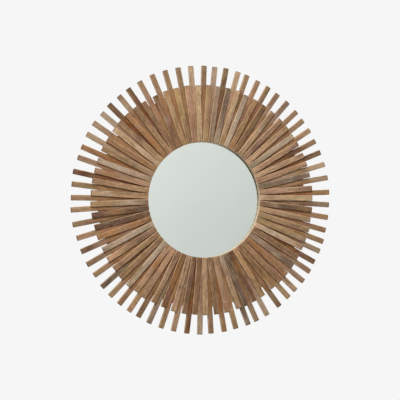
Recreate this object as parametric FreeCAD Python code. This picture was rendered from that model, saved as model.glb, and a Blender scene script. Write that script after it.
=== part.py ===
import FreeCAD, Part
import math
import os
import random

# Sunburst wall mirror: two layers of narrow wooden slats fanned round a round glass.
# Millimetres. X points to the viewer's right, Z up, Y from the viewer into the wall.
# The origin is the centre of the back panel's rear face, which lies on the wall.

# Slats: a long layer on the carrier and a short layer over the gaps of the long one
slat_count = 66
slats_per_group = 3
slat_width = 15.15
slat_gap = 0.25
long_slat_length = 213.0
long_slat_thickness = 5.0
short_slat_length = 159.0
short_slat_thickness = 5.0
slat_edge_ease = 0.5
slat_tip_ease = 1.1
slat_length_spread = 1.5
short_thickness_spread = 0.4

# The hand of the maker: where the fan starts, and how each slat strays from its ray
first_slat_angle_deg = -0.4
lean_step_deg = 0.8
lean_memory_share = 0.87
short_lean_step_deg = 0.55
placing_seed = 1027491

# How far the fan bunches one way or the other, at even steps round it from the right
fan_drift_deg = (
    -0.9, -0.9, 0.2, -0.8, 0.2, 0.6, -0.7, -1.5, -0.6, 0.8, 0.9, -0.2,
    -0.5, 0.2, 2.6, 1.9, 0.4, -0.7, 0.6, 0.4, -0.3, 0.3, -0.6, -0.4,
)

# Carrier: a plywood ring that holds the slats in front and the glass in a rebate behind
carrier_band = 138.5
carrier_thickness = 9.0

# Glass, the card that guards its silvering, and the board that closes the back
glass_thickness = 4.0
glass_overlap = 12.0
glass_clearance = 1.0
backing_thickness = 2.0
panel_thickness = 6.0
panel_overlap = 28.0

# Countersunk screws that hold the back panel on the carrier
panel_screw_count = 5
panel_screw_inset = 13.0
panel_screw_length = 13.0
panel_screw_radius = 1.75
panel_screw_head_radius = 3.5
panel_screw_head_height = 2.0

# Hanger: a strap with a rolled knuckle that carries a loose wire ring
hanger_height_share = 0.62
strap_width = 14.0
strap_thickness = 1.2
strap_drop = 9.0
ring_wire_radius = 1.5
ring_wire_sides = 8
ring_inside_width = 31.0
ring_corner_radius = 5.0
knuckle_clearance = 0.08
knuckle_turn_deg = 270.0
hanger_screw_length = 9.0
hanger_screw_radius = 1.75
hanger_screw_head_radius = 3.5
hanger_screw_head_height = 2.2

# Room round a screw in its hole, and how far a cut runs past a face
screw_clearance = 0.1
cut_overrun = 1.0

# Radii and depths that follow from the sizes above. The panel screws' heads lie flush in the panel.
slat_pitch_deg = 360.0 / slat_count
half_pitch = math.radians(slat_pitch_deg) / 2
opening_radius = (slat_width + slat_gap) / (2 * math.tan(half_pitch))
carrier_radius = opening_radius + carrier_band
rebate_radius = opening_radius + glass_overlap
glass_radius = rebate_radius - glass_clearance
panel_radius = rebate_radius + panel_overlap
panel_screw_circle = panel_radius - panel_screw_inset
carrier_back = -panel_thickness
carrier_front = carrier_back - carrier_thickness
long_front = carrier_front - long_slat_thickness
glass_back = carrier_back - backing_thickness
glass_front = glass_back - glass_thickness
strap_face = carrier_back + strap_thickness
knuckle_bore = ring_wire_radius + knuckle_clearance
knuckle_radius = knuckle_bore + strap_thickness
hinge_y = strap_face + knuckle_bore
hinge_z = panel_radius + (carrier_radius - panel_radius) * hanger_height_share
hanger_screw_z = hinge_z - strap_drop

vector = FreeCAD.Vector
towards_wall = vector(0, 1, 0)


# A face from points in order, joined by straight edges
def flat_face(points):
    return Part.Face(Part.makePolygon(points + points[:1]))


# A solid turned about the Y axis from (radius, y) points
def turned(profile):
    face = flat_face([vector(radius, y, 0) for radius, y in profile])
    return face.revolve(vector(0, 0, 0), towards_wall, 360)


def disc(radius, front, back):
    return turned([(0, front), (radius, front), (radius, back), (0, back)])


def moved(shape, x, z):
    copy = shape.copy()
    copy.translate(vector(x, 0, z))
    return copy


# Copies at even steps round the centre, the first one at the top
def on_circle(shape, radius, count):
    turns = [math.pi / 2 + math.tau * index / count for index in range(count)]
    return [moved(shape, radius * math.cos(turn), radius * math.sin(turn)) for turn in turns]


# The hole that a screw profile needs: wider all round, deeper, and open past its head
def screw_hole(profile):
    wide = [(radius + screw_clearance, y) for radius, y in profile[1:-2]]
    top = profile[0][1] + cut_overrun
    end = profile[-1][1] - screw_clearance
    return turned([(0, top), (wide[0][0], top)] + wide + [(wide[-1][0], end), (0, end)])


# One slat in its own frame: inner end at the origin, length along X, back face at the given depth
def slat(length, back, thickness):
    front = back - thickness
    half = slat_width / 2
    neck = length - slat_tip_ease
    brow = half - slat_tip_ease
    outline = [(0, -half), (neck, -half), (length, -brow), (length, brow), (neck, half), (0, half)]
    face = flat_face([vector(x, front, z) for x, z in outline])
    blank = face.extrude(towards_wall * thickness)
    front_edges = [
        edge for edge in blank.Edges
        if abs(edge.CenterOfMass.y - front) < slat_edge_ease / 2 and edge.CenterOfMass.x > slat_edge_ease
    ]
    return blank.makeChamfer(slat_edge_ease, front_edges)


# The fan's drift at a slat, between the two nearest steps
def fan_drift(index):
    place = index * len(fan_drift_deg) / slat_count
    step = int(place)
    share = place - step
    return fan_drift_deg[step] * (1 - share) + fan_drift_deg[(step + 1) % len(fan_drift_deg)] * share


# Leans of a whole layer: each slat partly follows its neighbour, as strips laid by hand do
def hand_leans(hand):
    lean = 0.0
    leans = []
    for index in range(slat_count):
        lean = lean_memory_share * lean + hand.gauss(0, lean_step_deg)
        leans.append(lean + fan_drift(index))
    return leans


# A layer of slats that share their back plane; their lengths and thicknesses differ a little
def slat_layer(length, back, thickness, thickness_spread, start_deg, leans, hand):
    layer = []
    for index, lean in enumerate(leans):
        ray = start_deg + index * slat_pitch_deg
        foot = vector(math.cos(math.radians(ray)), 0, math.sin(math.radians(ray))) * opening_radius
        longer = hand.uniform(-slat_length_spread, slat_length_spread)
        thicker = hand.uniform(-thickness_spread, thickness_spread)
        piece = slat(length + longer, back, thickness + thicker)
        piece.Placement = FreeCAD.Placement(foot, FreeCAD.Rotation(-towards_wall, ray + lean))
        layer.append(piece)
    return layer


def slat_groups(name, layer):
    groups = {}
    for start in range(0, len(layer), slats_per_group):
        number = start // slats_per_group + 1
        groups[f"{name}_{number:02d}"] = Part.makeCompound(layer[start:start + slats_per_group])
    return groups


def carrier_ring():
    ring = turned([
        (opening_radius, carrier_front),
        (carrier_radius, carrier_front),
        (carrier_radius, carrier_back),
        (rebate_radius, carrier_back),
        (rebate_radius, glass_front),
        (opening_radius, glass_front),
    ])
    holes = on_circle(screw_hole(panel_screw_profile()), panel_screw_circle, panel_screw_count)
    holes.append(moved(screw_hole(hanger_screw_profile()), 0, hanger_screw_z))
    return ring.cut(holes)


def panel_screw_profile():
    return [
        (0, 0),
        (panel_screw_head_radius, 0),
        (panel_screw_radius, -panel_screw_head_height),
        (panel_screw_radius, -panel_screw_length),
        (0, -panel_screw_length),
    ]


def back_panel():
    panel = disc(panel_radius, carrier_back, 0)
    holes = on_circle(screw_hole(panel_screw_profile()), panel_screw_circle, panel_screw_count)
    return panel.cut(holes)


def back_panel_screws():
    screw = turned(panel_screw_profile())
    return Part.makeCompound(on_circle(screw, panel_screw_circle, panel_screw_count))


# A raised head that clamps the strap
def hanger_screw_profile():
    top = strap_face + hanger_screw_head_height
    end = strap_face - hanger_screw_length
    return [
        (0, top),
        (hanger_screw_head_radius, top),
        (hanger_screw_head_radius, strap_face),
        (hanger_screw_radius, strap_face),
        (hanger_screw_radius, end),
        (0, end),
    ]


def hanger_screw():
    return moved(turned(hanger_screw_profile()), 0, hanger_screw_z)


# A point of the knuckle's section, by radius and by degrees up from the wall side
def knuckle_point(radius, degrees):
    angle = math.radians(degrees)
    return vector(-strap_width / 2, hinge_y + radius * math.cos(angle), hinge_z + radius * math.sin(angle))


# The strip runs up the carrier and rolls over the ring's bar; its foot is round about the screw
def hanger_strap():
    start = 180.0
    end = start - knuckle_turn_deg
    middle = (start + end) / 2
    foot = hanger_screw_z - strap_width / 2
    left = -strap_width / 2
    right = strap_width / 2
    low_back = vector(left, carrier_back, foot)
    low_face = vector(left, strap_face, foot)
    outer = [knuckle_point(knuckle_radius, turn) for turn in (start, middle, end)]
    inner = [knuckle_point(knuckle_bore, turn) for turn in (end, middle, start)]
    section = Part.Wire([
        Part.LineSegment(low_back, outer[0]).toShape(),
        Part.Arc(*outer).toShape(),
        Part.LineSegment(outer[2], inner[0]).toShape(),
        Part.Arc(*inner).toShape(),
        Part.LineSegment(inner[2], low_face).toShape(),
        Part.LineSegment(low_face, low_back).toShape(),
    ])
    strip = Part.Face(section).extrude(vector(strap_width, 0, 0))
    top = hinge_z + knuckle_radius + cut_overrun
    front = carrier_back - cut_overrun
    corners = [vector(x, front, z) for x, z in ((left, hanger_screw_z), (left, top), (right, top))]
    corners.append(vector(right, front, hanger_screw_z))
    outline = Part.Wire([
        Part.LineSegment(corners[0], corners[1]).toShape(),
        Part.LineSegment(corners[1], corners[2]).toShape(),
        Part.LineSegment(corners[2], corners[3]).toShape(),
        Part.Arc(corners[3], vector(0, front, foot), corners[0]).toShape(),
    ])
    block = Part.Face(outline).extrude(towards_wall * (2 * knuckle_radius + 2 * cut_overrun))
    hole_radius = hanger_screw_radius + screw_clearance
    hole = Part.makeCylinder(hole_radius, strap_thickness + 2 * cut_overrun,
                             vector(0, front, hanger_screw_z), towards_wall)
    return strip.common(block).cut(hole)


# A D of wire: a straight bar in the knuckle, two tight corners and a half circle that hangs.
# The wire's section is a polygon inside its round one, which keeps its faces few.
def hanger_ring():
    half = ring_inside_width / 2 + ring_wire_radius
    bar = half - ring_corner_radius
    slant = ring_corner_radius * math.sqrt(0.5)

    def place(x, drop):
        return vector(x, hinge_y, hinge_z - drop)

    near = ring_corner_radius - slant
    path = Part.Wire([
        Part.LineSegment(place(-bar, 0), place(bar, 0)).toShape(),
        Part.Arc(place(bar, 0), place(bar + slant, near), place(half, ring_corner_radius)).toShape(),
        Part.Arc(place(half, ring_corner_radius), place(0, ring_corner_radius + half),
                 place(-half, ring_corner_radius)).toShape(),
        Part.Arc(place(-half, ring_corner_radius), place(-bar - slant, near), place(-bar, 0)).toShape(),
    ])
    section = []
    for index in range(ring_wire_sides):
        turn = math.tau * index / ring_wire_sides
        section.append(place(-bar, 0) + vector(0, math.cos(turn), math.sin(turn)) * ring_wire_radius)
    return path.makePipe(flat_face(section))


hand = random.Random(placing_seed)
long_leans = hand_leans(hand)
short_leans = [
    (lean + long_leans[(index + 1) % slat_count]) / 2 + hand.gauss(0, short_lean_step_deg)
    for index, lean in enumerate(long_leans)
]
long_layer = slat_layer(long_slat_length, carrier_front, long_slat_thickness, 0,
                        first_slat_angle_deg, long_leans, hand)
short_layer = slat_layer(short_slat_length, long_front, short_slat_thickness, short_thickness_spread,
                         first_slat_angle_deg + slat_pitch_deg / 2, short_leans, hand)

nodes = {}
nodes.update(slat_groups("long_slats", long_layer))
nodes.update(slat_groups("short_slats", short_layer))
nodes["carrier_ring"] = carrier_ring()
nodes["mirror_glass"] = disc(glass_radius, glass_front, glass_back)
nodes["backing_sheet"] = disc(glass_radius, glass_back, carrier_back)
nodes["back_panel"] = back_panel()
nodes["back_panel_screws"] = back_panel_screws()
nodes["hanger_strap"] = hanger_strap()
nodes["hanger_ring"] = hanger_ring()
nodes["hanger_screw"] = hanger_screw()

os.makedirs("parts", exist_ok=True)
for name, shape in nodes.items():
    shape.exportStep(f"parts/{name}.step")
    state = "valid" if shape.isValid() else "broken"
    print(name, len(shape.Solids), "solids", round(shape.Volume), "mm3", state)
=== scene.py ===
import math
import random

import bmesh
import bpy
import numpy as np
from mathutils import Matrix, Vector


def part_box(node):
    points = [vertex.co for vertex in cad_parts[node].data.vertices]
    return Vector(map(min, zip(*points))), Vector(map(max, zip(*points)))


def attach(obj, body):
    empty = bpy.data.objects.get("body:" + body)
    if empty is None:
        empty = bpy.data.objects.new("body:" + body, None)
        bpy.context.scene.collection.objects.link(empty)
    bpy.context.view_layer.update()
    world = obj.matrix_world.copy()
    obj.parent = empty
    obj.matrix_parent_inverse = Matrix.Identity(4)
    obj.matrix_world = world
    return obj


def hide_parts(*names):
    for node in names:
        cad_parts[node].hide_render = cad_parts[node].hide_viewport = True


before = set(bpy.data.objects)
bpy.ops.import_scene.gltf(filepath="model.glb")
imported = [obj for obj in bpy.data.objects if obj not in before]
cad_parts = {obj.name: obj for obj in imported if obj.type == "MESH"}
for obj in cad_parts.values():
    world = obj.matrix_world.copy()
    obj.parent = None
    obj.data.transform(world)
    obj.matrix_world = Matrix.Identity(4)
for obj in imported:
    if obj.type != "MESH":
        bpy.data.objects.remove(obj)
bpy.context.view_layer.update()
print("frame loaded:", len(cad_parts), "nodes")


# Camera at the photograph's angle, aimed at the middle of the wall face
photoView = {
    "azimuth": -15.86,  # degrees; minus stands to the left of the mirror
    "elevation": -1.28,
    "distance": 2.9055,
    "lens": 93.09,
    "sensor": 36.0,
    "shift": (-0.0066, -0.0003),
}


def placeCamera(view):
    turn = math.radians(view["azimuth"])
    rise = math.radians(view["elevation"])
    back = Vector((math.sin(turn) * math.cos(rise), -math.cos(turn) * math.cos(rise), math.sin(rise)))
    lens = bpy.data.cameras.new("photoCamera")
    lens.lens = view["lens"]
    lens.sensor_width = view["sensor"]
    lens.shift_x, lens.shift_y = view["shift"]
    camera = bpy.data.objects.new("photoCamera", lens)
    bpy.context.scene.collection.objects.link(camera)
    camera.location = back * view["distance"]
    camera.rotation_mode = "QUATERNION"
    camera.rotation_quaternion = (-back).to_track_quat("-Z", "Y")
    bpy.context.scene.camera = camera


placeCamera(photoView)
print("camera placed")


# A colour as a paint chart gives it, 0 to 255, in the linear values that the shaders take
def paint(red, green, blue):
    linear = []
    for part in (red, green, blue):
        share = part / 255
        linear.append(share / 12.92 if share <= 0.04045 else ((share + 0.055) / 1.055) ** 2.4)
    return (*linear, 1.0)


# One socket of a node tree; sums and products of sockets add their Math nodes
class Wire:
    def __init__(self, tree, socket=None):
        self.tree = tree
        self.socket = socket

    def node(self, kind, settings=None, values=None, pick=0):
        made = self.tree.nodes.new("ShaderNode" + kind)
        for name, value in (settings or {}).items():
            setattr(made, name, value)
        for name, value in (values or {}).items():
            if isinstance(value, Wire):
                self.tree.links.new(value.socket, made.inputs[name])
            else:
                made.inputs[name].default_value = value
        return Wire(self.tree, made.outputs[pick] if len(made.outputs) else None)

    def maths(self, operation, first, second=0.0):
        return self.node("Math", {"operation": operation}, {0: first, 1: second})

    def __add__(self, other):
        return self.maths("ADD", self, other)

    def __radd__(self, other):
        return self.maths("ADD", other, self)

    def __sub__(self, other):
        return self.maths("SUBTRACT", self, other)

    def __rsub__(self, other):
        return self.maths("SUBTRACT", other, self)

    def __mul__(self, other):
        return self.maths("MULTIPLY", self, other)

    def __rmul__(self, other):
        return self.maths("MULTIPLY", other, self)

    def __truediv__(self, other):
        return self.maths("DIVIDE", self, other)

    def __rtruediv__(self, other):
        return self.maths("DIVIDE", other, self)

    def bigger(self, other):
        return self.maths("MAXIMUM", self, other)

    def linear(self, start, slope):
        return start + self * slope

    # 0 below low, 1 above high, and a soft rise between
    def rise(self, low, high):
        return self.node("MapRange", {"interpolation_type": "SMOOTHSTEP"}, {0: self, 1: low, 2: high})

    def parts(self):
        made = self.node("SeparateXYZ", None, {0: self})
        return [Wire(self.tree, socket) for socket in made.socket.node.outputs]

    def scaled(self, amount):
        return self.node("VectorMath", {"operation": "SCALE"}, {0: self, "Scale": amount})

    def noise(self, scale, detail, roughness, bend=0.0):
        values = {"Scale": scale, "Detail": detail, "Roughness": roughness, "Distortion": bend}
        return self.node("TexNoise", None, {"Vector": self, **values})

    # Noise with its own number of marks per metre along each axis
    def marks(self, perMetre, detail, roughness, bend=0.0):
        stretched = self.node("VectorMath", {"operation": "MULTIPLY"}, {0: self, 1: perMetre})
        return stretched.noise(1.0, detail, roughness, bend)

    def bump(self, strength, depth):
        return self.node("Bump", None, {"Strength": strength, "Distance": depth, "Height": self})

    # The first colour where share is 0, the second (or its product with the first) where it is 1
    def blend(self, share, first, second, how="MIX"):
        settings = {"data_type": "RGBA", "blend_type": how}
        return self.node("Mix", settings, {0: share, 6: first, 7: second}, 2)

    def mixed(self, other, share):
        return self.blend(share, self, other)


# The emptied node tree of a material or a world
def blankSheet(owner):
    owner.use_nodes = True
    owner.node_tree.nodes.clear()
    return Wire(owner.node_tree)


# A new material with one Principled shader; build(sheet) returns the values of its sockets
def finish(name, build):
    material = bpy.data.materials.new(name)
    sheet = blankSheet(material)
    surface = sheet.node("BsdfPrincipled", None, build(sheet))
    sheet.node("OutputMaterial", None, {"Surface": surface})
    return material


def attribute(sheet, name, pick):
    return sheet.node("Attribute", {"attribute_name": name}, None, pick)


def coordinate(sheet, kind):
    return sheet.node("TexCoord", None, None, kind)


# Weathered strip: the tone is each slat's own, and the grain runs along the slat
stripLook = {
    # Marks per metre along, across and through the slat, then the noise's detail, roughness and bend
    "noises": {
        "fibre": ((34.0, 950.0, 950.0), 3.0, 0.6),
        "streak": ((9.0, 210.0, 210.0), 3.0, 0.55, 0.3),
        "patch": ((17.0, 50.0, 50.0), 3.0, 0.55, 0.4),
        "blot": ((75.0, 190.0, 190.0), 3.0, 0.6, 0.2),
        "saw": ((390.0, 40.0, 40.0), 1.0, 0.4),
        "speck": ((48.0, 880.0, 880.0), 2.0, 0.6),
        "pore": ((300.0, 1300.0, 1300.0), 2.0, 0.5),
        "scuff": ((105.0, 360.0, 360.0), 2.0, 0.6),
        "mood": ((26.0, 105.0, 105.0), 2.0, 0.5, 0.3),
    },
    # Weighted sums of noises and marks, each with a constant
    "sums": {
        "shade": ({"streak": 1.35, "fibre": 1.0, "blot": 1.4, "patch": 1.0, "saw": 0.45}, -1.56),
        "bleached": ({"patch": 1.0}, -0.27),
        "grey": ({"fibre": 0.7}, 0.5),
        "dark": ({"blot": 0.9}, 0.3),
        "rust": ({"streak": 1.0, "blot": 0.6}, -0.25),
        "dusk": ({"patch": 0.5, "blot": 0.7}, 0.0),
        "ash": ({"blot": 0.9, "fibre": 0.6}, -0.15),
        "scuffed": ({"ash": 0.75, "dusk": 0.12}, 0.1),
        "arris": ({"rim": 1.0, "blot": 0.24, "patch": 0.14, "fibre": 0.12}, 0.0),
        "wornAndLit": ({"fibre": 0.7}, 0.36),
        "darkTip": ({"blot": 0.6}, 0.2),
        "side": ({"fibre": 0.4}, 0.65),
        "relief": ({"fibre": 0.5, "streak": 0.25, "saw": 0.15, "speck": 0.1}, 0.0),
        "roughness": ({"fibre": 0.22}, 0.58),
    },
    # Between which two values a coat comes in
    "rises": {
        "exposed": (0.15, 0.162),  # metres from the foot; up to there the short layer shelters the long one
        "mood": (0.5, 0.66),
        "grey": (0.48, 0.64),
        "dark": (0.5, 0.66),
        "warmStreak": (0.42, 0.62),
        "warmBlot": (0.4, 0.6),
        "scuffed": (0.58, 0.72),
        "speck": (0.6, 0.7),
        "wornAndLit": (1.0, 1.14),
        "joint": (0.2, 0.9),
        "jointLine": (0.86, 1.0),
        "darkTip": (0.0, 0.0035),  # metres from the tip
        "side": (0.2, 0.6),
        "cut": (0.7, 0.9),
        "pore": (0.55, 0.65),
    },
    "shares": {
        # painted shade: share of dark warm colour on the long slats where the short layer covers them
        "gapShade": 0.34,
        "olive": 0.4,
        "mauve": 0.36,
        "speck": 0.45,
        "joint": 0.6,
        "jointLine": 0.8,
        "exposedSide": 0.45,
        "cutEnd": 0.9,
        "cutPore": 0.5,
    },
    "colours": {
        # painted shade colour for the covered part of the long slats
        "gapShade": paint(132, 74, 20),
        "bleached": paint(126, 111, 94),
        "olive": paint(140, 120, 76),
        "mauve": paint(142, 104, 96),
        "grey": paint(158, 144, 128),
        "dark": paint(82, 60, 45),
        "orange": paint(158, 113, 74),
        "rust": paint(152, 104, 62),
        "dusk": paint(92, 72, 61),
        "ash": paint(175, 156, 135),
        "scuffed": paint(212, 204, 194),
        # pale arris colour: partly real wear, partly painted highlight
        "wornAndLit": paint(208, 178, 140),
        "joint": paint(190, 168, 140),
        "jointLine": paint(96, 70, 52),
        # darker colour near the outer tip
        "darkTip": paint(72, 53, 42),
        # raw sides, deep and warm: partly the wood's own colour, partly painted warm shade for the gaps
        "side": paint(172, 83, 9),
        "cutEnd": paint(232, 220, 200),
        "cutPore": paint(158, 128, 94),
    },
    "leastShade": 0.35,
    "relief": (0.6, 0.00045),  # strength and depth of the bump
    "specular": 0.1,
}


def stripFinish(sheet, sheltered):
    look = stripLook
    rises, shares, colours = look["rises"], look["shares"], look["colours"]
    grain = attribute(sheet, "grainPlace", "Vector")
    fromFoot, fromTip, rim = attribute(sheet, "slatRun", "Vector").parts()
    greyLuck, darkLuck, warmLuck = attribute(sheet, "slatLuck", "Vector").parts()
    ash, dusk, rust = attribute(sheet, "slatWeather", "Vector").parts()
    raw = attribute(sheet, "slatRaw", "Fac")
    joint = attribute(sheet, "slatJoint", "Fac")
    tone = attribute(sheet, "slatTone", "Vector")
    terms = {name: grain.marks(*settings) for name, settings in look["noises"].items()}
    terms.update({"rim": rim, "ash": ash, "dusk": dusk})

    def summed(name):
        weights, constant = look["sums"][name]
        return sum(terms[term] * weight for term, weight in weights.items()) + constant

    def risen(term, name):
        return terms[term].rise(*rises[name])

    colour = tone.scaled(summed("shade").bigger(look["leastShade"]))
    # Sides: raw wood colour that is also painted warm shade, less on sides that face the key light and where
    # the long slats are out in the open
    bareSideAndShade = raw.rise(*rises["side"]) * summed("side")
    if sheltered:
        exposed = fromFoot.rise(*rises["exposed"])
        # Painted shade: the long slats are darkened and warmed where the short layer covers them
        colour = colour.mixed(colours["gapShade"], (1.0 - exposed) * shares["gapShade"])
        colour = colour.mixed(colours["bleached"], exposed * summed("bleached"))
        bareSideAndShade = bareSideAndShade * (1.0 - exposed * shares["exposedSide"])
    cut = raw.rise(*rises["cut"])
    coats = (
        ("olive", risen("mood", "mood") * shares["olive"]),
        ("mauve", (1.0 - terms["mood"]).rise(*rises["mood"]) * shares["mauve"]),
        ("grey", risen("patch", "grey") * greyLuck * summed("grey")),
        ("dark", (1.0 - terms["patch"]).rise(*rises["dark"]) * darkLuck * summed("dark")),
        ("orange", risen("streak", "warmStreak") * risen("blot", "warmBlot") * warmLuck),
        ("rust", rust * summed("rust")),
        ("dusk", dusk * summed("dusk")),
        ("ash", ash * summed("ash")),
        ("scuffed", risen("scuff", "scuffed") * summed("scuffed")),
        ("dark", risen("speck", "speck") * shares["speck"]),
        # pale arris: real wear plus painted highlight, stronger on arrises facing the key light
        ("wornAndLit", summed("arris").rise(*rises["wornAndLit"]) * summed("wornAndLit")),
        ("joint", joint.rise(*rises["joint"]) * shares["joint"]),
        ("jointLine", joint.rise(*rises["jointLine"]) * shares["jointLine"]),
        # darker within a few millimetres of the outer tip
        ("darkTip", (1.0 - fromTip.rise(*rises["darkTip"])) * summed("darkTip")),
        ("side", bareSideAndShade),
        ("cutEnd", cut * shares["cutEnd"]),
        ("cutPore", cut * risen("pore", "pore") * shares["cutPore"]),
    )
    for name, share in coats:
        colour = colour.mixed(colours[name], share)
    return {
        "Base Color": colour,
        "Roughness": summed("roughness"),
        "Specular IOR Level": look["specular"],
        "Normal": summed("relief").bump(*look["relief"]),
    }


longStrip = finish("longStrip", lambda sheet: stripFinish(sheet, True))
shortStrip = finish("shortStrip", lambda sheet: stripFinish(sheet, False))
print("strip finishes ready")


# Slats: 66 long ones behind, 66 short ones over their gaps, three to a piece as the frame has them
slatWork = {
    "seed": 66,
    "weldGap": 1e-6,
    "frontRound": 0.0009,  # worn arris of the face
    "backRound": 0.0004,
    "endRound": 0.0005,
    "tipRound": (0.0009, 0.0022),  # worn corners of the outer end
    "slant": 0.02,  # how far off square the outer end is sawn
    "crown": 0.00035,  # a split strip keeps a little of the cane's curve
    "wave": 0.00012,
    "waveShare": 0.6,
    "twistShare": 0.4,
    "bow": 0.00035,
    "widthWave": 0.012,
    "waves": {"bow": (0.5, 1.1), "widen": (0.7, 1.9, 4.3), "wave": (2.1, 5.3, 9.7), "twist": (0.6, 1.7)},
    "waveSize": (0.5, 1.0),
    "wavePace": (0.8, 1.25),
    "station": 0.0085,
    "easeStep": 0.3,  # share of the rounding at which one more station lies
    "tipSteps": (1.0, 0.6, 0.3),
    "leastStep": 0.15,
    "frontSteps": 5,
    "arcSteps": 3,
    "chips": 2,
    "chipPlace": (0.05, 1.0),
    "chipDepth": (0.0002, 0.0007),
    "chipLength": (0.0015, 0.006),
    "chipSink": 0.5,
    "chipFade": 6,  # powers that keep chips at the arris and joints off it
    "jointFade": 4,
    "jointShare": 0.015,  # how many slats show a joint of the cane
    "jointPlace": (0.15, 0.9),
    "jointHeight": 0.0003,
    "jointWidth": 0.0022,
    "jointSteps": 4,
    "highlightFacing": (-0.83, 0, 0.55),  # arrises that face the key light at the upper left get more of the pale edge: painted highlight on top of the wear
    "wearAndHighlight": 0.93,
    "highlightLean": 0.09,
    "wearAndHighlightLuck": 0.07,
    "rawSideAndShade": 0.5,  # sides are raw wood in a deep warm colour that is also painted shade for the gaps; painted paler where they face the key light at the upper left
    "sideLitLean": 0.12,
    "tipRaw": 0.38,
    "footRaw": 1.0,
    "strayShare": 0.3,  # how many slats have a mark that isn't listed
    "strayReach": (0.05, 0.2),
    "strayStrength": (0.2, 0.6),
    "grainShift": 4,
    "light": (0.93, 1.07),  # how far a slat may stray from its tone
    "warm": (0.97, 1.03),
    "green": (0.975, 1.025),
    "fade": 0.13,
}

# Dry cane runs from dark to pale, with a few sorts of its own
slatTones = {
    "deep": paint(99, 71, 52),
    "dark": paint(125, 95, 70),
    "brown": paint(144, 113, 84),
    "tan": paint(156, 124, 94),
    "light": paint(167, 136, 106),
    "pale": paint(183, 155, 124),
    "chestnut": paint(122, 86, 57),
    "rust": paint(142, 106, 73),
    "honey": paint(161, 128, 92),
    "olive": paint(148, 122, 90),
    "rose": paint(159, 125, 100),
    "grey": paint(135, 115, 95),
    "silver": paint(166, 143, 120),
    "charcoal": paint(103, 86, 72),
    "umber": paint(93, 56, 32),
    "russet": paint(144, 102, 69),
    "ink": paint(77, 66, 56),
}

# How often a slat that isn't named below has each tone
usualTones = {"dark": 1, "brown": 6, "tan": 6, "light": 3, "rose": 6, "honey": 1, "olive": 1}

# Greying, blotches and warmth: the tones that have much of it, how much, and what the others may have
slatLuck = {
    "grey": (("grey", "silver", "charcoal", "ink"), (0.3, 0.6), (0, 0, 0.1, 0.15, 0.35)),
    "blotch": (("deep", "dark", "umber"), (0.4, 0.7), (0.05, 0.1, 0.2, 0.3, 0.5)),
    "warmth": (("rust", "russet"), (0.2, 0.4), (0, 0, 0.1, 0.2, 0.3)),
}

# Slats that stand out, counted anticlockwise from the right
standOut = {
    "long": {
        "deep": (4,),
        "umber": (23, 25, 31, 48, 61),
        "dark": (5, 11, 15, 44, 50, 56),
        "charcoal": (53,),
        "ink": (40,),
        "grey": (0, 9, 45, 62),
        "silver": (16, 26, 28, 49, 55),
        "pale": (3, 14, 18, 58),
        "honey": (6, 39, 43, 63, 65),
        "russet": (1, 29, 42, 51),
        "olive": (19, 32, 41, 54, 57),
    },
    "short": {
        "deep": (34, 35, 54),
        "chestnut": (45,),
        "dark": (10, 21, 22, 47, 48, 60, 65),
        "charcoal": (53,),
        "grey": (2, 14, 15, 59),
        "silver": (6, 12, 29, 37, 41),
        "pale": (0, 17, 26, 61),
        "light": (4, 9, 13, 46, 49, 52, 64),
        "rust": (24, 27, 36, 56, 58),
        "honey": (16, 20, 55),
    },
}

# Weather marks on the short slats: slat, place and reach along it as shares of its length
weatherMarks = {
    "ash": (
        (6, 0.7, 0.2), (12, 0.5, 0.3), (29, 0.65, 0.2), (32, 0.75, 0.1), (33, 0.35, 0.2),
        (37, 0.4, 0.25), (41, 0.4, 0.15), (52, 0.1, 0.12), (61, 0.4, 0.2),
    ),
    "dusk": (
        (2, 0.75, 0.25), (8, 0.3, 0.1), (14, 0.7, 0.2), (25, 0.55, 0.1), (34, 0.15, 0.15),
        (34, 0.92, 0.08), (35, 0.65, 0.3), (38, 0.35, 0.1), (46, 0.57, 0.06), (47, 0.45, 0.15),
        (53, 0.9, 0.12), (59, 0.85, 0.15), (65, 0.5, 0.2),
    ),
    "rust": (
        (11, 0.08, 0.06), (21, 0.1, 0.05), (24, 0.35, 0.2), (30, 0.75, 0.1), (34, 0.6, 0.1),
        (42, 0.4, 0.1), (45, 0.35, 0.15), (54, 0.3, 0.15), (58, 0.25, 0.15),
    ),
}

# Joints of the cane that show as a pale line across a short slat
jointMarks = {1: 0.52, 33: 0.55, 51: 0.81}


# The points of each separate solid in a node of the frame
def islandsOf(node):
    mesh = bmesh.new()
    mesh.from_mesh(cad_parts[node].data)
    bmesh.ops.remove_doubles(mesh, verts=mesh.verts, dist=slatWork["weldGap"])
    found = []
    for start in mesh.verts:
        if start.tag:
            continue
        start.tag = True
        reach = [start]
        for vert in reach:
            for edge in vert.link_edges:
                other = edge.other_vert(vert)
                if not other.tag:
                    other.tag = True
                    reach.append(other)
        found.append(np.array([vert.co for vert in reach]))
    mesh.free()
    return found


# Where a slat of the frame lies: its foot at the opening, its directions and its size
def slatPlace(points):
    flat = points[:, [0, 2]]
    middle = flat.mean(axis=0)
    away = flat - middle
    along = np.linalg.eigh(away.T @ away)[1][:, 1]
    if along @ middle < 0:
        along = -along
    across = np.array([-along[1], along[0]])
    reach = away @ along
    side = away @ across
    foot = middle + along * reach.min() + across * (side.max() + side.min()) / 2
    return {
        "foot": Vector((foot[0], points[:, 1].max(), foot[1])),
        "along": Vector((along[0], 0, along[1])),
        "across": Vector((across[0], 0, across[1])),
        "length": reach.max() - reach.min(),
        "width": side.max() - side.min(),
        "thickness": points[:, 1].max() - points[:, 1].min(),
        "angle": math.atan2(middle[1], middle[0]),
    }


def slatsOf(node):
    places = [slatPlace(points) for points in islandsOf(node)]
    first = places[0]["angle"]
    places.sort(key=lambda place: (place["angle"] - first + math.pi) % math.tau)
    return places


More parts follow.
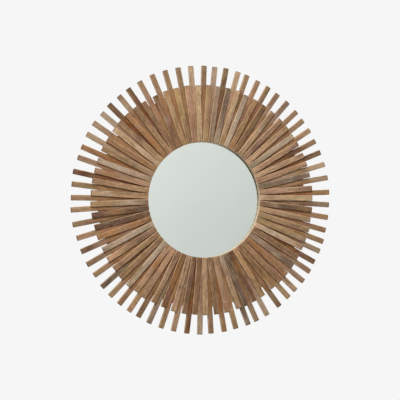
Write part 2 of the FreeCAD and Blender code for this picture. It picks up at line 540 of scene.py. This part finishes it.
# A smooth wandering value between -1 and 1, for bows and waves
def wander(hand, waves):
    terms = []
    for wave in waves:
        size = hand.uniform(*slatWork["waveSize"])
        pace = wave * hand.uniform(*slatWork["wavePace"])
        terms.append((size, pace, hand.uniform(0, math.tau)))
    total = sum(term[0] for term in terms)

    def at(place):
        return sum(size * math.sin(math.tau * pace * place + start) for size, pace, start in terms) / total
    return at


def bell(distance, reach):
    return math.exp(-(distance / reach) ** 2)


# How far a rounded edge falls back at a distance from the end
def fallBack(radius, near):
    if near >= radius:
        return 0.0
    return radius - math.sqrt(max(0.0, radius ** 2 - (radius - near) ** 2))


def slatTone(layer, number, hand):
    kind = hand.choices(list(usualTones), list(usualTones.values()))[0]
    for name, numbers in standOut[layer].items():
        if number in numbers:
            kind = name
    light = hand.uniform(*slatWork["light"])
    warm = hand.uniform(*slatWork["warm"])
    red, green, blue, _ = slatTones[kind]
    tone = Vector((red * light * warm, green * light, blue * light / warm))
    luck = []
    for kinds, much, others in slatLuck.values():
        luck.append(hand.uniform(*much) if kind in kinds else hand.choice(others))
    fade = hand.gauss(0, slatWork["fade"])
    tone.y *= hand.uniform(*slatWork["green"])
    return tone, fade, luck


# The marks of one slat, as kind, place, reach and strength; some slats have one that isn't listed
def slatMarks(layer, number, hand):
    work = slatWork
    marks = []
    stray = (hand.randrange(len(weatherMarks)), hand.uniform(0, 1),
             hand.uniform(*work["strayReach"]), hand.uniform(*work["strayStrength"]))
    if hand.random() < work["strayShare"]:
        marks.append(stray)
    if layer == "short":
        for kind, listed in enumerate(weatherMarks.values()):
            marks += [(kind, place, reach, 1.0) for slat, place, reach in listed if slat == number]
    return marks


# All that is one slat's own; the order of the draws decides the look
def drawSlat(place, layer, number):
    work = slatWork
    hand = random.Random(f"{layer} {number} {work['seed']}")
    length = place["length"]
    own = {"wearAndHighlight": {}, "rawSideAndShade": {}}
    own["tone"], own["fade"], own["luck"] = slatTone(layer, number, hand)
    for name, waves in work["waves"].items():
        own[name] = wander(hand, waves)
    own["joints"] = []
    if hand.random() < work["jointShare"]:
        own["joints"] = [hand.uniform(*work["jointPlace"]) * length]
    own["tipRounds"] = {side: hand.uniform(*work["tipRound"]) for side in (-1, 1)}
    own["slant"] = hand.uniform(-work["slant"], work["slant"])
    own["chips"] = []
    for _ in range(work["chips"]):
        chip = (hand.uniform(*work["chipPlace"]) * length, hand.choice((-1, 1)),
                hand.uniform(*work["chipDepth"]), hand.uniform(*work["chipLength"]))
        own["chips"].append(chip)
    own["shift"] = [hand.uniform(-work["grainShift"], work["grainShift"]) for _ in range(3)]
    own["marks"] = slatMarks(layer, number, hand)
    for side in (-1, 1):
        toLight = place["across"].dot(Vector(work["highlightFacing"])) * side
        # arrises that face the key light get more of the pale edge: painted highlight
        own["wearAndHighlight"][side] = work["wearAndHighlight"] + toLight * work["highlightLean"] + hand.uniform(-1, 1) * work["wearAndHighlightLuck"]
        # sides that face the key light get less of the warm side colour: painted light
        own["rawSideAndShade"][side] = work["rawSideAndShade"] - toLight * work["sideLitLean"]
    if layer == "short" and number in jointMarks:
        own["joints"] = [jointMarks[number] * length]
    return own


# The outline of a slat across its length: face, arris, side, back arris, back and up again
def slatSection(half, front, back):
    work = slatWork
    steps = work["arcSteps"]
    points = []

    def corner(across, depth, radius, startTurn):
        for step in range(steps + 1):
            turn = math.radians(startTurn + 90 * step / steps)
            points.append((across + radius * math.cos(turn), depth + radius * math.sin(turn)))

    flat = half - work["frontRound"]
    for step in range(1, work["frontSteps"]):
        points.append((-flat + 2 * flat * step / work["frontSteps"], front))
    corner(flat, front + work["frontRound"], work["frontRound"], -90)
    corner(half - work["backRound"], back - work["backRound"], work["backRound"], 0)
    points.append((0, back))
    corner(-half + work["backRound"], back - work["backRound"], work["backRound"], 90)
    corner(-flat, front + work["frontRound"], work["frontRound"], 180)
    return points


# Places along a slat that get a round of points, closer together at its ends and joints
def slatStations(length, joints):
    work = slatWork
    ease = work["endRound"]
    tip = work["tipRound"][1]
    stations = [0, ease * work["easeStep"], ease, length - ease * work["easeStep"], length]
    stations += [length - tip * step for step in work["tipSteps"]]
    count = int(length / work["station"])
    stations += [length * step / count for step in range(1, count)]
    for joint in joints:
        spread = range(-work["jointSteps"], work["jointSteps"] + 1)
        stations += [joint + work["jointWidth"] * step / 2 for step in spread]
    stations = sorted(place for place in stations if 0 <= place <= length)
    kept = stations[:1]
    for place in stations[1:]:
        if place - kept[-1] > ease * work["leastStep"]:
            kept.append(place)
    return kept


# One round of points about a slat, with the wear, waves and marks of that place
def slatRound(mesh, place, own, station):
    work = slatWork
    length, thickness = place["length"], place["thickness"]
    share = station / length
    fromTip = length - station
    inset = fallBack(work["endRound"], min(station, fromTip))
    half = place["width"] / 2 * (1 - work["widthWave"] * (0.5 + 0.5 * own["widen"](share)))
    sway = work["bow"] * own["bow"](share) * math.sin(math.pi * share)
    roll = work["waveShare"] * own["wave"](share)
    twist = work["twistShare"] * own["twist"](share)
    joint = sum(bell(station - spot, work["jointWidth"]) for spot in own["joints"])
    faded = own["tone"] * (1 + own["fade"] * (2 * share - 1))
    weather = [0.0] * len(weatherMarks)
    for kind, spot, reach, strength in own["marks"]:
        weather[kind] += strength * bell(share - spot, reach)
    vectors = mesh.verts.layers.float_vector
    ring = []
    for across, depth in slatSection(half - inset, -thickness + inset, -inset):
        side = 1 if across > 0 else -1
        outward = abs(across) / half
        faceward = min(1.0, max(0.0, -depth / thickness * 2 - 1))  # 1 at the face, 0 in the rear half
        chips = [chip for chip in own["chips"] if chip[1] == side]
        bite = sum(size * bell(station - spot, span) for spot, _, size, span in chips)
        atArris = outward ** work["chipFade"]
        pinch = fallBack(own["tipRounds"][side], fromTip)
        sink = work["crown"] * outward ** 2 + work["wave"] * (roll + twist * across / half)
        swell = work["jointHeight"] * joint * (1 - outward ** work["jointFade"])
        x = station + own["slant"] * across * share
        u = across + sway - side * (bite * faceward * atArris + pinch * outward)
        d = max(depth + faceward * (sink - swell + bite * work["chipSink"] * atArris), -thickness)
        vert = mesh.verts.new(place["foot"] + place["along"] * x + place["across"] * u + Vector((0, d, 0)))
        shift = own["shift"]
        vert[vectors["grainPlace"]] = (x + shift[0], u + shift[1], d + shift[2])
        # third value: strength of the worn and painted-highlight arris, more where it faces the key light
        vert[vectors["slatRun"]] = (x, length - x, outward * faceward * own["wearAndHighlight"][side])
        vert[vectors["slatLuck"]] = own["luck"]
        vert[vectors["slatTone"]] = faded
        vert[vectors["slatWeather"]] = weather
        vert[mesh.verts.layers.float["slatJoint"]] = min(1.0, joint) * faceward
        ring.append(vert)
    return ring


def buildSlat(mesh, place, layer, number):
    work = slatWork
    own = drawSlat(place, layer, number)
    stations = slatStations(place["length"], own["joints"])
    rounds = [slatRound(mesh, place, own, station) for station in stations]
    raw = mesh.faces.layers.float["slatRaw"]
    count = len(rounds[0])
    rightSide = work["frontSteps"] - 1 + work["arcSteps"]
    leftSide = count - 1 - work["arcSteps"]
    rawSideAndShade = {rightSide: own["rawSideAndShade"][1], leftSide: own["rawSideAndShade"][-1]}
    for near, far in zip(rounds, rounds[1:]):
        for step in range(count):
            after = (step + 1) % count
            face = mesh.faces.new((near[step], near[after], far[after], far[step]))
            face[raw] = rawSideAndShade.get(step, 0.0)
            face.smooth = True
    mesh.faces.new(rounds[0])[raw] = work["footRaw"]
    mesh.faces.new(rounds[-1])[raw] = work["tipRaw"]


sharpDegrees = 38  # edges that bend more than this stay sharp


def addPiece(mesh, name, material, body, node):
    data = bpy.data.meshes.new(name)
    mesh.to_mesh(data)
    mesh.free()
    data.materials.append(material)
    data.set_sharp_from_angle(angle=math.radians(sharpDegrees))
    piece = bpy.data.objects.new(name, data)
    bpy.context.scene.collection.objects.link(piece)
    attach(piece, body)
    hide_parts(node)
    return piece


def slatPiece(layer, group, material):
    node = f"{layer}_slats_{group:02d}"
    mesh = bmesh.new()
    for name in ("grainPlace", "slatRun", "slatLuck", "slatTone", "slatWeather"):
        mesh.verts.layers.float_vector.new(name)
    mesh.verts.layers.float.new("slatJoint")
    mesh.faces.layers.float.new("slatRaw")
    places = slatsOf(node)
    for index, place in enumerate(places):
        buildSlat(mesh, place, layer, (group - 1) * len(places) + index)
    bmesh.ops.recalc_face_normals(mesh, faces=mesh.faces)
    addPiece(mesh, f"{layer}Slats{group:02d}", material, "mirror", node)


groups = sum(1 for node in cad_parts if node.startswith("long_slats_"))
for group in range(1, groups + 1):
    slatPiece("long", group, longStrip)
    slatPiece("short", group, shortStrip)
print("slats laid:", groups, "groups in each layer")


# Birch plywood of the carrier ring: layers on its edges, sliced veneer on its faces
plyLook = {
    "veneer": paint(206, 178, 138),
    "veneerDark": paint(176, 142, 100),
    "core": paint(186, 158, 124),
    "edge": paint(226, 210, 184),
    "dashTone": paint(140, 106, 70),
    "layer": 0.0017,
    "grain": ((7.0, 150.0, 150.0), 4.0, 0.55, 0.6),  # noises are given as for the strip
    "line": ((11.0, 620.0, 620.0), 3.0, 0.65, 0.4),
    "fibre": ((42.0, 1500.0, 1500.0), 2.0, 0.6),
    "dash": ((80.0, 1500.0, 1500.0), 1.0, 0.5),
    "faceRise": (0.6, 0.8),
    "grainRise": (0.4, 0.64),
    "lineRise": (0.44, 0.62),
    "dashRise": (0.64, 0.74),
    "bandRise": (0.45, 0.55),
    "grainShare": 0.45,
    "lineShare": 0.5,
    "dashShare": 0.55,
    "shade": (0.84, 0.32),  # start and slope
    "relief": (0.4, 0.0003),
    "roughness": (0.6, 0.2),
    "specular": 0.25,
}


def plyFinish(sheet):
    look = plyLook
    where = coordinate(sheet, "Object")
    facing = coordinate(sheet, "Normal").parts()[1]
    flat = sheet.maths("ABSOLUTE", facing).rise(*look["faceRise"])
    grain, line, fibre, dash = [where.marks(*look[name]) for name in ("grain", "line", "fibre", "dash")]
    figure = grain.rise(*look["grainRise"]) * look["grainShare"]
    figure = figure + line.rise(*look["lineRise"]) * look["lineShare"]
    dash = dash.rise(*look["dashRise"])
    face = sheet.blend(figure, look["veneer"], look["veneerDark"])
    face = face.mixed(look["dashTone"], dash * look["dashShare"])
    depth = where.parts()[1] / look["layer"]
    band = sheet.maths("PINGPONG", depth, 1.0).rise(*look["bandRise"])
    edge = sheet.blend(band, look["edge"], look["core"])
    return {
        "Base Color": edge.mixed(face, flat).scaled(fibre.linear(*look["shade"])),
        "Roughness": fibre.linear(*look["roughness"]),
        "Specular IOR Level": look["specular"],
        "Normal": (fibre + line - dash).bump(*look["relief"]),
    }


# Back board: pressed brown fibre
boardLook = {
    "board": paint(134, 96, 64),
    "light": paint(168, 128, 90),
    "dark": paint(92, 62, 40),
    "fleck": (900.0, 3.0, 0.65),  # scale, detail and roughness of the noise
    "fibre": (460.0, 3.0, 0.6, 1.4),
    "cloud": (9.0, 3.0, 0.5),
    "fleckRise": (0.54, 0.68),
    "fibreRise": (0.42, 0.66),
    "fleckShare": 0.5,
    "fibreShare": 0.6,
    "shade": (0.82, 0.36),
    "relief": (0.35, 0.0002),
    "roughness": (0.45, 0.3),
}


def boardFinish(sheet):
    look = boardLook
    where = coordinate(sheet, "Object")
    fleck, fibre, cloud = [where.noise(*look[name]) for name in ("fleck", "fibre", "cloud")]
    colour = sheet.blend(fibre.rise(*look["fibreRise"]) * look["fibreShare"], look["board"], look["light"])
    colour = colour.mixed(look["dark"], fleck.rise(*look["fleckRise"]) * look["fleckShare"])
    return {
        "Base Color": colour.scaled(cloud.linear(*look["shade"])),
        "Roughness": fleck.linear(*look["roughness"]),
        "Normal": (fleck + fibre).bump(*look["relief"]),
    }


# Backing sheet: grey card
cardLook = {
    "card": paint(150, 142, 132),
    "flecked": paint(120, 112, 100),
    "fleck": (900.0, 3.0, 0.6),
    "fleckRise": (0.45, 0.7),
    "fleckShare": 0.35,
    "relief": (0.2, 0.0002),
    "roughness": (0.8, 0.15),
}


def cardFinish(sheet):
    look = cardLook
    fleck = coordinate(sheet, "Object").noise(*look["fleck"])
    share = fleck.rise(*look["fleckRise"]) * look["fleckShare"]
    return {
        "Base Color": sheet.blend(share, look["card"], look["flecked"], "MULTIPLY"),
        "Roughness": fleck.linear(*look["roughness"]),
        "Normal": fleck.bump(*look["relief"]),
    }


# Zinc plate: faint spangle, hairline scratches and duller patches
zincLook = {
    "bright": paint(206, 206, 204),
    "dull": paint(158, 158, 154),
    "spangle": (420.0, 2.0, 0.5),
    "scratch": ((2400.0, 2400.0, 90.0), 2.0, 0.6),
    "patch": (90.0, 3.0, 0.6),
    "dullRise": (0.4, 0.7),
    "shade": (0.88, 0.24),
    "spangleHeight": 0.5,
    "relief": (0.25, 0.00005),
    "roughness": (0.24, 0.18),
    "scratchRough": 0.1,
}


def zincFinish(sheet):
    look = zincLook
    where = coordinate(sheet, "Object")
    spangle = where.noise(*look["spangle"])
    scratch = where.marks(*look["scratch"])
    dulled = where.noise(*look["patch"]).rise(*look["dullRise"])
    colour = sheet.blend(dulled, look["bright"], look["dull"])
    return {
        "Base Color": colour.scaled(spangle.linear(*look["shade"])),
        "Metallic": 1.0,
        "Roughness": dulled.linear(*look["roughness"]) + scratch * look["scratchRough"],
        "Normal": (scratch + spangle * look["spangleHeight"]).bump(*look["relief"]),
    }


plywood = finish("birchPly", plyFinish)
hardboard = finish("pressedBoard", boardFinish)
greyCard = finish("greyCard", cardFinish)
zinc = finish("zincPlate", zincFinish)

# Nodes of the frame that stay, with their sharp edges broken by a small bevel
dressing = {
    "weldGap": 1e-6,
    "segments": 2,
    "sharpDegrees": 50,
    "nodes": {  # finish and width of the bevel
        "carrier_ring": (plywood, 0.0006),
        "back_panel": (hardboard, 0.0006),
        "backing_sheet": (greyCard, 0.0003),
        "hanger_strap": (zinc, 0.0002),
    },
}


def dressNode(name, material, ease):
    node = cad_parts[name]
    node.data.materials.clear()
    node.data.materials.append(material)
    weld = node.modifiers.new("weld", "WELD")
    weld.merge_threshold = dressing["weldGap"]
    bevel = node.modifiers.new("ease", "BEVEL")
    bevel.width = ease
    bevel.segments = dressing["segments"]
    bevel.limit_method = "ANGLE"
    bevel.angle_limit = math.radians(dressing["sharpDegrees"])
    bevel.harden_normals = True


for name, (material, ease) in dressing["nodes"].items():
    dressNode(name, material, ease)
print("carrier, back and strap dressed")


# A closed round solid about a line along Y, from (radius, y) points; reach() may vary the radius
def addTurned(mesh, profile, segments, centre=(0, 0), reach=None):
    rings = []
    for radius, y in profile:
        if radius == 0:
            rings.append([mesh.verts.new((centre[0], y, centre[1]))])
            continue
        ring = []
        for step in range(segments):
            turn = math.tau * step / segments
            wide = reach(radius, y, turn) if reach else radius
            x = centre[0] + wide * math.cos(turn)
            z = centre[1] + wide * math.sin(turn)
            ring.append(mesh.verts.new((x, y, z)))
        rings.append(ring)
    for near, far in zip(rings, rings[1:]):
        for step in range(segments):
            corners = []
            for ring, spot in ((near, step), (near, step + 1), (far, step + 1), (far, step)):
                vert = ring[spot % len(ring)]
                if vert not in corners:
                    corners.append(vert)
            mesh.faces.new(corners).smooth = True


# Mirror pane: silvered float glass with a faint green cast and ground edges
paneLook = {
    "segments": 192,
    "arris": 0.0006,
    "innerRing": 0.5,
    "clearance": 0.00004,  # between the glass and the lip of the carrier
    "silver": (0.748, 0.796, 0.747, 1.0),
    "cloudy": (0.733, 0.781, 0.732, 1.0),
    # painted shade colour for the rim of the glass under the lip
    "edge": (0.2, 0.185, 0.115, 1.0),
    "cloud": (7.0, 3.0, 0.5),
    "cloudRise": (0.35, 0.7),
    "dust": (900.0, 2.0, 0.6),
    "dustRise": (0.62, 0.8),
    "roughness": (0.01, 0.02),
    "underLip": 0.011,  # how far the lip of the carrier covers the glass
    "shadedRimReach": (0.0052, 0.0032),  # painted shade: a dark line on the silver where the glass meets the lip, for the shaded inner wall and its reflection
    "shadedRimSide": (0.58, 0.42),  # the painted shade is darker to the right and upward, where the inner wall is out of the key light
    "shadedRimRise": (0.074, 0.12),
}


def silverFinish(sheet):
    look = paneLook
    where = coordinate(sheet, "Object")
    cloud = where.noise(*look["cloud"]).rise(*look["cloudRise"])
    dust = where.noise(*look["dust"]).rise(*look["dustRise"])
    x, _, z = where.parts()
    out = sheet.maths("SQRT", x * x + z * z)
    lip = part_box("mirror_glass")[1].x - look["underLip"]
    start, full = look["shadedRimReach"]
    right, up = look["shadedRimSide"]
    shadedSide = (x * right + z * up).rise(*look["shadedRimRise"])
    colour = sheet.blend(cloud, look["silver"], look["cloudy"])
    # Painted shade: a dark band on the silver just inside the lip, most to the right and upward
    colour = colour.mixed(look["edge"], out.rise(lip - start, lip - full) * shadedSide)
    return {"Base Color": colour, "Metallic": 1.0, "Roughness": dust.linear(*look["roughness"])}


def mirrorPane():
    look = paneLook
    low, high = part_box("mirror_glass")
    radius = (high.x - low.x) / 2
    front = low.y + look["clearance"]
    back = high.y
    ease = look["arris"]
    profile = [(0, front), (radius * look["innerRing"], front), (radius - ease, front),
               (radius, front + ease), (radius, back - ease), (radius - ease, back), (0, back)]
    mesh = bmesh.new()
    addTurned(mesh, profile, look["segments"])
    bmesh.ops.recalc_face_normals(mesh, faces=mesh.faces)
    silvered = finish("silveredGlass", silverFinish)
    addPiece(mesh, "mirrorPane", silvered, "mirror", "mirror_glass")


mirrorPane()
print("mirror pane set")


# Screws with a cross recess and a thread
screwLook = {
    "segments": 28,
    "pitch": 0.0014,
    "thread": 0.0003,
    "threadSlope": 1.6,
    "point": 0.0035,
    "pointShare": 0.15,  # of the shank, just before the end
    "stepsPerTurn": 6,
    "recessReach": 0.0021,
    "recessHalf": 0.00045,
    "recessDepth": 0.0013,
    "recessTaper": 0.6,
    "endReach": 1e-5,
    "sunk": {"flat": 0.96, "rim": 0.0002, "neck": 1.02, "cone": 0.002, "collar": 0.0028},
    "domed": {"height": 0.0022, "rim": 0.0003, "collar": 0.0014, "steps": 6, "sweep": 72},
}


def recessCutter(mesh, centre, top):
    look = screwLook
    half = look["recessHalf"]
    reach = look["recessReach"]
    outline = [(half, half), (half, reach), (-half, reach), (-half, half), (-reach, half), (-reach, -half),
               (-half, -half), (-half, -reach), (half, -reach), (half, -half), (reach, -half), (reach, half)]
    rounds = []
    for scale, y in ((1.0, top + look["recessDepth"]), (look["recessTaper"], top - look["recessDepth"])):
        corners = [(centre[0] + x * scale, y, centre[1] + z * scale) for x, z in outline]
        rounds.append([mesh.verts.new(corner) for corner in corners])
    over, deep = rounds
    mesh.faces.new(over)
    mesh.faces.new(deep)
    for step in range(len(outline)):
        after = (step + 1) % len(outline)
        mesh.faces.new((over[step], over[after], deep[after], deep[step]))


def screwProfile(head, shank, end):
    look = screwLook
    start = head[-1][1]
    turns = (start - end) / look["pitch"]
    count = int(turns * look["stepsPerTurn"])
    profile = list(head)
    for step in range(1, count):
        y = start + (end - start) * step / count
        taper = min(1.0, (y - end) / look["point"])
        profile.append((shank * max(look["pointShare"], taper), y))
    profile.append((0, end))
    return profile


# The thread winds round the shank: the radius swells once a turn
def threadReach(start):
    look = screwLook

    def reach(radius, y, turn):
        if y >= start:
            return radius
        phase = ((y / look["pitch"]) + turn / math.tau) % 1.0
        return radius - look["thread"] * min(1.0, 2 * abs(phase - 0.5) * look["threadSlope"])
    return reach


def cutRecesses(piece, centres, top):
    cutter = bmesh.new()
    for centre in centres:
        recessCutter(cutter, centre, top)
    bmesh.ops.recalc_face_normals(cutter, faces=cutter.faces)
    data = bpy.data.meshes.new("recesses")
    cutter.to_mesh(data)
    cutter.free()
    tool = bpy.data.objects.new("recesses", data)
    bpy.context.scene.collection.objects.link(tool)
    cut = piece.modifiers.new("recess", "BOOLEAN")
    cut.object = tool
    cut.solver = "EXACT"
    bpy.context.view_layer.update()
    cutMesh = bpy.data.meshes.new_from_object(piece.evaluated_get(bpy.context.evaluated_depsgraph_get()))
    piece.modifiers.clear()
    piece.data = cutMesh
    bpy.data.objects.remove(tool)


def screws(node, name, headOf):
    look = screwLook
    low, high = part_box(node)
    islands = islandsOf(node)
    points = islands[0]
    headRadius = (points[:, 0].max() - points[:, 0].min()) / 2
    atEnd = points[points[:, 1] < points[:, 1].min() + look["endReach"]]
    shank = (atEnd[:, 0].max() - atEnd[:, 0].min()) / 2
    head = headOf(headRadius, shank, high.y)
    centres = []
    for island in islands:
        first, last = island.min(axis=0), island.max(axis=0)
        centres.append(((first[0] + last[0]) / 2, (first[2] + last[2]) / 2))
    centres.sort()
    mesh = bmesh.new()
    for centre in centres:
        profile = screwProfile(head, shank, low.y)
        addTurned(mesh, profile, look["segments"], centre, threadReach(head[-1][1]))
    bmesh.ops.recalc_face_normals(mesh, faces=mesh.faces)
    piece = addPiece(mesh, name, zinc, "mirror", node)
    cutRecesses(piece, centres, high.y)


# A flush countersunk head, and a domed one that clamps the strap
def sunkHead(radius, shank, top):
    look = screwLook["sunk"]
    return [(0, top), (radius * look["flat"], top), (radius, top - look["rim"]),
            (shank * look["neck"], top - look["cone"]), (shank, top - look["collar"])]


def domedHead(radius, shank, top):
    look = screwLook["domed"]
    seat = top - look["height"]
    dome = [(0, top)]
    for step in range(1, look["steps"] + 1):
        turn = math.radians(90 - look["sweep"] * step / look["steps"])
        dome.append((radius * math.cos(turn), seat + (top - seat) * math.sin(turn)))
    dome += [(radius, seat + look["rim"]), (radius, seat)]
    return dome + [(shank, seat), (shank, seat - look["collar"])]


screws("back_panel_screws", "backPanelScrews", sunkHead)
screws("hanger_screw", "hangerScrew", domedHead)
print("screws driven")


# Ring of the hanger: round wire bent to a D
ringLook = {
    "wire": 0.0015,
    "corner": 0.005,
    "sides": 20,
    "cornerSteps": 8,
    "bowSteps": 40,
}


def ringPath(low, high):
    look = ringLook
    half = (high.x - low.x) / 2 - look["wire"]
    y = (low.y + high.y) / 2
    corner = look["corner"]
    level = high.z - look["wire"] - corner
    steps = look["cornerSteps"]
    path = []
    for step in range(look["bowSteps"] + 1):
        turn = math.pi * step / look["bowSteps"]
        path.append(Vector((-half * math.cos(turn), y, level - half * math.sin(turn))))
    rightTurns = [math.pi / 2 * step / steps for step in range(1, steps + 1)]
    leftTurns = [math.pi / 2 * (1 + step / steps) for step in range(steps)]
    for middle, turns in ((half - corner, rightTurns), (-half + corner, leftTurns)):
        for turn in turns:
            path.append(Vector((middle + corner * math.cos(turn), y, level + corner * math.sin(turn))))
    return path


def hangerRing():
    look = ringLook
    path = ringPath(*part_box("hanger_ring"))
    mesh = bmesh.new()
    towardsWall = Vector((0, 1, 0))
    rounds = []
    for index, spot in enumerate(path):
        run = (path[(index + 1) % len(path)] - path[index - 1]).normalized()
        out = run.cross(towardsWall)
        ring = []
        for step in range(look["sides"]):
            turn = math.tau * step / look["sides"]
            away = out * math.cos(turn) + towardsWall * math.sin(turn)
            ring.append(mesh.verts.new(spot + away * look["wire"]))
        rounds.append(ring)
    for index, near in enumerate(rounds):
        far = rounds[(index + 1) % len(rounds)]
        for step in range(look["sides"]):
            after = (step + 1) % look["sides"]
            mesh.faces.new((near[step], near[after], far[after], far[step])).smooth = True
    bmesh.ops.recalc_face_normals(mesh, faces=mesh.faces)
    addPiece(mesh, "hangerRing", zinc, "hang_ring", "hanger_ring")


hangerRing()
print("hanger ring bent")


# Studio: plain pale surroundings, a soft key light from the upper left, a light behind for the back,
# and a floor far below
studio = {
    "backdrop": paint(246, 246, 246),
    "ambient": (0.32, 0.32, 0.32, 1.0),
    "roomSlope": (-0.5, 0.05),  # what the mirror shows: a room that is brighter up and to the left
    "roomLevels": (0.72, 1.18),
    "bounceRise": (0.4, 0.6),  # the wood gets ambient light from the mirror, not the room's
    "keyLight": {"place": (-1.17, -2.84, 2.7), "size": 1.4, "watts": 159.0, "colour": (1.0, 0.97, 0.93)},
    "backLight": {"place": (1.5, 2.9, 1.7), "size": 2.0, "watts": 110.0, "colour": (1.0, 0.98, 0.96)},
    "floorDrop": 1.6,
    "floorRadius": 3.0,
    "floorSegments": 96,
    "floorFade": (0.3, 0.95),  # shares of the radius
    "floorColour": paint(232, 231, 229),
    "floorMottle": paint(210, 208, 205),
    "mottle": (3.0, 3.0, 0.5),
    "mottleShare": 0.04,
    "floorRoughness": 0.8,
}


def setWorld():
    world = bpy.data.worlds.new("studioWorld")
    bpy.context.scene.world = world
    sheet = blankSheet(world)
    path = sheet.node("LightPath").socket.node.outputs
    camera, glossy, through, bounces = [Wire(sheet.tree, path[name]) for name in (
        "Is Camera Ray", "Is Glossy Ray", "Is Transmission Ray", "Diffuse Depth")]
    direct = 1.0 - bounces.rise(*studio["bounceRise"])
    across, _, upward = coordinate(sheet, "Generated").parts()
    slope = (upward - across).rise(*studio["roomSlope"])
    lit = sheet.node("Background", None, {"Color": studio["ambient"]})
    plain = sheet.node("Background", None, {"Color": studio["backdrop"]})
    dim, bright = [sheet.node("Background", None, {"Color": studio["backdrop"], "Strength": level})
                   for level in studio["roomLevels"]]
    room = sheet.node("MixShader", None, {0: slope, 1: dim, 2: bright})
    mirrored = sheet.node("MixShader", None, {0: glossy.bigger(through) * direct, 1: lit, 2: room})
    both = sheet.node("MixShader", None, {0: camera, 1: mirrored, 2: plain})
    sheet.node("OutputWorld", None, {"Surface": both})


def setLamp(name):
    look = studio[name]
    light = bpy.data.lights.new(name, "AREA")
    light.shape = "SQUARE"
    light.size = look["size"]
    light.energy = look["watts"]
    light.color = look["colour"]
    lamp = bpy.data.objects.new(name, light)
    bpy.context.scene.collection.objects.link(lamp)
    lamp.location = look["place"]
    lamp.rotation_mode = "QUATERNION"
    lamp.rotation_quaternion = (-lamp.location).to_track_quat("-Z", "Y")


# The floor is opaque in its middle and fades into the backdrop at its rim
def floorMaterial():
    material = bpy.data.materials.new("paleFloor")
    sheet = blankSheet(material)
    where = coordinate(sheet, "Object")
    far = sheet.node("VectorMath", {"operation": "LENGTH"}, {0: where}, 1)
    fade = far.rise(*[studio["floorRadius"] * share for share in studio["floorFade"]])
    mottle = where.noise(*studio["mottle"]) * studio["mottleShare"]
    colour = sheet.blend(mottle, studio["floorColour"], studio["floorMottle"], "MULTIPLY")
    matt = sheet.node("BsdfPrincipled", None, {"Base Color": colour, "Roughness": studio["floorRoughness"]})
    clear = sheet.node("BsdfTransparent")
    both = sheet.node("MixShader", None, {0: fade, 1: matt, 2: clear})
    sheet.node("OutputMaterial", None, {"Surface": both})
    return material


def setFloor():
    segments, radius = studio["floorSegments"], studio["floorRadius"]
    mesh = bmesh.new()
    bmesh.ops.create_circle(mesh, cap_ends=True, segments=segments, radius=radius)
    data = bpy.data.meshes.new("floor")
    mesh.to_mesh(data)
    mesh.free()
    data.materials.append(floorMaterial())
    floor = bpy.data.objects.new("floor", data)
    floor.location = (0, 0, -studio["floorDrop"])
    bpy.context.scene.collection.objects.link(floor)


setWorld()
setLamp("keyLight")
setLamp("backLight")
setFloor()
bpy.context.scene.view_settings.view_transform = "Standard"
print("studio lit")
